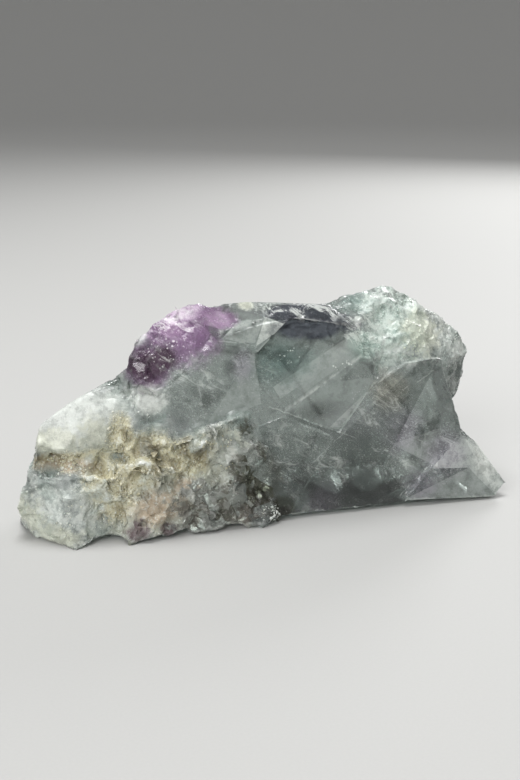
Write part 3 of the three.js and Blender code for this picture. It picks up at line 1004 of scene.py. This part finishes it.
        # Worn edges are frosted white, and the white also paints highlights along the crystal edges.
        worn = self.mask("edge") * self.ramp(grain, 0.3, 0.5, 0.45, 1.0)
        worn = worn * self.ramp(self.clouds, 0.38, 0.56, 0.25, 1.0)
        return self.highest(
            sugar,
            ridges * (0.6 - 0.5 * dark),
            self.zone("white", 0.4) * self.ramp(mottle, 0.35, 0.6, 0.4, 0.8),
            self.ramp(wisps, 0.46, 0.66) * (self.zone("veil", 0.6) * 0.75 + 0.2) * 0.7,
            self.cleavage_lines() * 0.4,
            strokes * 0.45,
            dust_and_glints * 0.9,
            worn * 0.7,
            # Painted band of light on the window facet.
            self.mask("painted_light_band") * 0.3,
            self.zone("streak", 0.5) * self.ramp(wisps, 0.47, 0.57) * 0.9,
            # Painted light on the lit facets and panes.
            light * self.ramp(mottle, 0.35, 0.6, 0.5, 1.0),
            self.ramp(0.6 * self.clouds + 0.4 * wisps, 0.52, 0.68) * 0.4,
            self.ramp(0.5 * mottle + 0.5 * grain, 0.52, 0.66) * 0.18,
        )

    def crust(self, sugar):
        """Where the crust covers the crystal."""
        crust = self.zone("crust", 0.25) * (1 - 0.7 * self.zone("plates", 0.3))
        crust = self.highest(crust, self.zone("tan", 0.5))
        return crust * self.ramp(self.rough, 0, 0.6) * (1 - 0.6 * sugar)

    def earth(self, dust_and_glints):
        """Colour of the crust."""
        colours, mottle, hollow = self.colours, self.mottle, self.hollow
        raised = 0.9 * (mottle - 0.5) - 0.35 * hollow + 0.4 * (self.shards - 0.5)
        # Browner and darker in the hollows of the crust.
        browner_in_hollows = self.ramp(hollow + 0.8 * (mottle - 0.5), 0.1, 0.6)
        return self.layered(
            colours.clear,
            (colours.tan, self.zone("tan", 0.35) * 0.55 + 0.35),
            (colours.pink, self.zone("pink", 0.5) * 0.9),
            (colours.clear, self.ramp(self.clouds, 0.5, 0.64) * 0.6),
            (colours.shade, self.ramp(self.shards, 0.42, 0.22) * 0.3),
            (colours.stain, self.ramp(self.speckle, 0.44, 0.32) * self.zone("tan", 0.4) * 0.6),
            (colours.white, self.ramp(self.speckle, 0.55, 0.68) * 0.55),
            (colours.white, self.ramp(raised, 0.05, 0.35) * 0.75),
            (colours.olive, self.zone("olive", 0.3) * self.ramp(mottle, 0.64, 0.5)),
            (colours.plum, self.zone("plum", 0.6) * 0.9),
            (colours.stain, browner_in_hollows * (self.zone("tan", 0.35) * 0.3 + 0.1)),
            (colours.white, dust_and_glints * 0.6),
        )

    def rust(self):
        """Brown stain, in patches and along the cracks of the skin."""
        patches = self.zone("rust", 0.6) * self.ramp(self.mottle, 0.42, 0.58, 0.25, 0.9)
        return self.highest(patches, self.ramp(self.mask("crack") * (self.grain + 0.5), 0.25, 0.9))

    def complete(self):
        """Mixes the clear crystal with its frosted and crusted skin, and gives the material."""
        colours = self.colours
        light, strokes = self.seen_inside()
        sugar, dust_and_glints = self.sugar(), self.dust_and_glints()
        tint = self.tint(light)
        frost = self.frost(light, strokes, sugar, dust_and_glints)
        crust, rust = self.crust(sugar), self.rust()
        frosting = self.blend(colours.white, colours.yellow, self.zone("yellow", 0.6) * 0.4)
        lip = self.mask("lip") * self.ramp(self.grain, 0.25, 0.5)
        skin_colour = self.layered(
            tint, (frosting, frost * 0.8), (self.earth(dust_and_glints), crust),
            (colours.stain, rust * 0.85), (colours.white, lip * 0.95),
        )
        cloudy = self.highest(frost * 0.9, crust * 0.85, rust) * 0.9 + 0.08
        relief = self.bump(self.grain, self.rough * 0.55 + 0.08, 0.25 * MM)
        relief = self.bump(self.fine, self.rough * 0.3 + 0.05, 0.1 * MM, relief)
        clear = self.node("ShaderNodeBsdfPrincipled", None, {
            "Base Color": tint, "IOR": FLUORITE_IOR, "Transmission Weight": 0.78, "Normal": relief,
            "Roughness": self.ramp(self.grain, 0.3, 0.7, 0.09, 0.2) + self.rough * 0.08,
        })
        frosted = self.node("ShaderNodeBsdfPrincipled", None, {
            "Base Color": skin_colour, "IOR": FLUORITE_IOR, "Normal": relief,
            "Roughness": self.ramp(self.fine, 0.3, 0.7, 0.16, 0.4),
            "Subsurface Weight": 0.2, "Subsurface Radius": (MM, MM, MM), "Subsurface Scale": 1.0,
        })
        surface = self.node("ShaderNodeMixShader", None, {0: cloudy, 1: clear, 2: frosted})
        depth = self.node("ShaderNodeVolumeAbsorption", None, {
            "Color": (*srgb(192, 205, 200), 1.0), "Density": 22.0,
        })
        return self.end(Surface=surface, Volume=depth)


def grain_finish(colours):
    """Sugary grains: white and frosted, tinted by the zone that they grew on."""
    finish = Finish("fluorite_grains")
    tone = finish.mask("tone")

    def zone(name, soft=0.45):
        return finish.ramp(finish.mask(name) + 0.6 * (tone - 0.5), -0.05, soft)

    shade = finish.blend(colours.clear, colours.white, finish.ramp(tone, 0, 0.6))
    for name in ("mint", "purple", "yellow"):
        shade = finish.blend(shade, getattr(colours, name), zone(name) * 0.5)
    earth = finish.blend(colours.tan, colours.white, finish.ramp(tone, 0.5, 1.0) * 0.7)
    earth = finish.blend(earth, colours.olive, zone("olive") * finish.ramp(tone, 0.9, 0.4))
    shade = finish.blend(shade, earth, finish.highest(zone("crust", 0.2), zone("tan")) * 0.8)
    dust = finish.noise(finish.place(), 0.4 * MM, 2)
    surface = finish.node("ShaderNodeBsdfPrincipled", None, {
        "Base Color": finish.blend(shade, colours.white, finish.ramp(dust, 0.55, 0.8) * 0.4),
        "Roughness": finish.ramp(tone, 0, 1, 0.15, 0.4), "IOR": FLUORITE_IOR,
        "Transmission Weight": 0.15,
    })
    return finish.end(Surface=surface)


STONES = {}


def stone_skin(settings):
    """The dressed skin and its masks, worked out once for all pieces."""
    if "skin" not in STONES:
        STONES["skin"] = dressed_skin(settings)
    return STONES["skin"]


# Operators

# Edges bent by more than this are drawn sharp.
SHARP_ANGLE = math.radians(16)


class FLUORITE_OT_body(bpy.types.Operator):
    """Make the stone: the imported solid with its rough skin, worn edges and crystal material"""

    bl_idname = "fluorite.body"
    bl_label = "Fluorite Body"

    def execute(self, context):
        skin, masks = stone_skin(context.scene.fluorite_stone)
        mesh = mesh_from("fluorite_body", skin.corners, skin.triangles, masks)
        mesh.polygons.foreach_set("use_smooth", np.ones(len(mesh.polygons), dtype=bool))
        mesh.set_sharp_from_angle(angle=SHARP_ANGLE)
        mesh.materials.append(CrystalFinish(context.scene.fluorite_colours).complete())
        body = bpy.data.objects.new("fluorite_body", mesh)
        context.collection.objects.link(body)
        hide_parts(NODE)
        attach(body, BODY)
        return {"FINISHED"}


class FLUORITE_OT_grains(bpy.types.Operator):
    """Strew small crystals over the crust, the crest and the foot"""

    bl_idname = "fluorite.grains"
    bl_label = "Fluorite Grains"

    def execute(self, context):
        settings = context.scene.fluorite_stone
        corners, triangles, masks = strewn_grains(*stone_skin(settings), settings)
        mesh = mesh_from("fluorite_grains", corners, triangles, masks)
        mesh.materials.append(grain_finish(context.scene.fluorite_colours))
        grains = bpy.data.objects.new("fluorite_grains", mesh)
        context.collection.objects.link(grains)
        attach(grains, BODY)
        return {"FINISHED"}


# The floor is a round dish: flat up to the first radius, and bent up to the second.
STAGE_FLAT = 1.4
STAGE_RADIUS = 2.4
STAGE_SIDES = 96
# Soft lamps: where each hangs, how wide it is and its power. They point at the stone.
LAMPS = {
    "top_light": ((-0.05, 0.1, 0.75), 0.45, 5.0),
    "left_light": ((-0.5, -0.6, 0.45), 0.4, 3.4),
    "back_light": ((0.5, 0.6, 0.35), 0.3, 2.4),
}
LAMPS_AIM = Vector((0, 0, 0.02))
WORLD_LIGHT = 0.42


class FLUORITE_OT_stage(bpy.types.Operator):
    """Lay the pale floor, and set up the soft lights and the camera"""

    bl_idname = "fluorite.stage"
    bl_label = "Fluorite Stage"

    def execute(self, context):
        settings = context.scene.fluorite_stage
        self.lay_floor(context, settings)
        self.hang_lights(context)
        self.place_camera(context, settings)
        return {"FINISHED"}

    def lay_floor(self, context, settings):
        work = bmesh.new()
        bend = STAGE_RADIUS - STAGE_FLAT
        profile = [Vector((0, 0, 0)), Vector((STAGE_FLAT, 0, 0))]
        profile += [
            Vector((STAGE_FLAT + bend * math.sin(a), 0, bend * (1 - math.cos(a))))
            for a in np.radians(range(6, 91, 6))
        ]
        verts = [work.verts.new(point) for point in profile]
        edges = [work.edges.new(pair) for pair in zip(verts, verts[1:])]
        bmesh.ops.spin(
            work, geom=[*verts, *edges], cent=(0, 0, 0), axis=(0, 0, 1), angle=math.tau,
            steps=STAGE_SIDES, use_merge=True,
        )
        bmesh.ops.remove_doubles(work, verts=work.verts, dist=1e-5)
        bmesh.ops.recalc_face_normals(work, faces=work.faces)
        mesh = bpy.data.meshes.new("floor")
        work.to_mesh(mesh)
        work.free()
        mesh.polygons.foreach_set("use_smooth", np.ones(len(mesh.polygons), dtype=bool))
        finish = Finish("pale_floor")
        paper = finish.noise(finish.place(), 0.6 * MM, 3)
        tone = finish.blend(settings.floor_colour, [0.94 * c for c in settings.floor_colour], paper)
        inputs = {"Base Color": tone, "Roughness": 0.7}
        surface = finish.node("ShaderNodeBsdfPrincipled", None, inputs)
        mesh.materials.append(finish.end(Surface=surface))
        floor = bpy.data.objects.new("floor", mesh)
        floor.location.z = CAD_LOW.z
        context.collection.objects.link(floor)

    def hang_lights(self, context):
        world = bpy.data.worlds.new("studio")
        world.use_nodes = True
        sky = world.node_tree.nodes["Background"]
        sky.inputs["Color"].default_value = (1.0, 1.0, 1.0, 1.0)
        sky.inputs["Strength"].default_value = WORLD_LIGHT
        context.scene.world = world
        for name, (place, size, power) in LAMPS.items():
            lamp = bpy.data.lights.new(name, "AREA")
            lamp.shape = "DISK"
            lamp.size = size
            lamp.energy = power
            holder = bpy.data.objects.new(name, lamp)
            holder.location = place
            aim = LAMPS_AIM - Vector(place)
            holder.rotation_euler = aim.to_track_quat("-Z", "Y").to_euler()
            context.collection.objects.link(holder)

    def place_camera(self, context, settings):
        camera = bpy.data.cameras.new("camera")
        camera.lens = settings.lens
        camera.clip_start = 0.01
        holder = bpy.data.objects.new("camera", camera)
        holder.location = settings.camera_place
        tilt = math.pi / 2 - settings.camera_elevation
        holder.rotation_euler = (tilt, 0, settings.camera_azimuth)
        context.collection.objects.link(holder)
        context.scene.camera = holder
        context.scene.view_settings.view_transform = "Standard"


class FLUORITE_PT_panel(bpy.types.Panel):
    """The specimen's pieces and settings"""

    bl_idname = "FLUORITE_PT_panel"
    bl_label = "Fluorite Specimen"
    bl_space_type = "VIEW_3D"
    bl_region_type = "UI"
    bl_category = "Fluorite"

    def draw(self, context):
        for step in OPERATORS:
            self.layout.operator(step.bl_idname)
        scene = context.scene
        for settings in (scene.fluorite_stone, scene.fluorite_colours, scene.fluorite_stage):
            for name in settings.__annotations__:
                self.layout.prop(settings, name)


OPERATORS = (FLUORITE_OT_body, FLUORITE_OT_grains, FLUORITE_OT_stage)
CLASSES = (StoneSettings, ColourSettings, StageSettings, *OPERATORS, FLUORITE_PT_panel)


def register():
    for item in CLASSES:
        bpy.utils.register_class(item)
    bpy.types.Scene.fluorite_stone = PointerProperty(type=StoneSettings)
    bpy.types.Scene.fluorite_colours = PointerProperty(type=ColourSettings)
    bpy.types.Scene.fluorite_stage = PointerProperty(type=StageSettings)


def unregister():
    del bpy.types.Scene.fluorite_stage
    del bpy.types.Scene.fluorite_colours
    del bpy.types.Scene.fluorite_stone
    for item in reversed(CLASSES):
        bpy.utils.unregister_class(item)


def main():
    register()
    bpy.ops.fluorite.body()
    bpy.ops.fluorite.grains()
    bpy.ops.fluorite.stage()


if __name__ == "__main__":
    main()
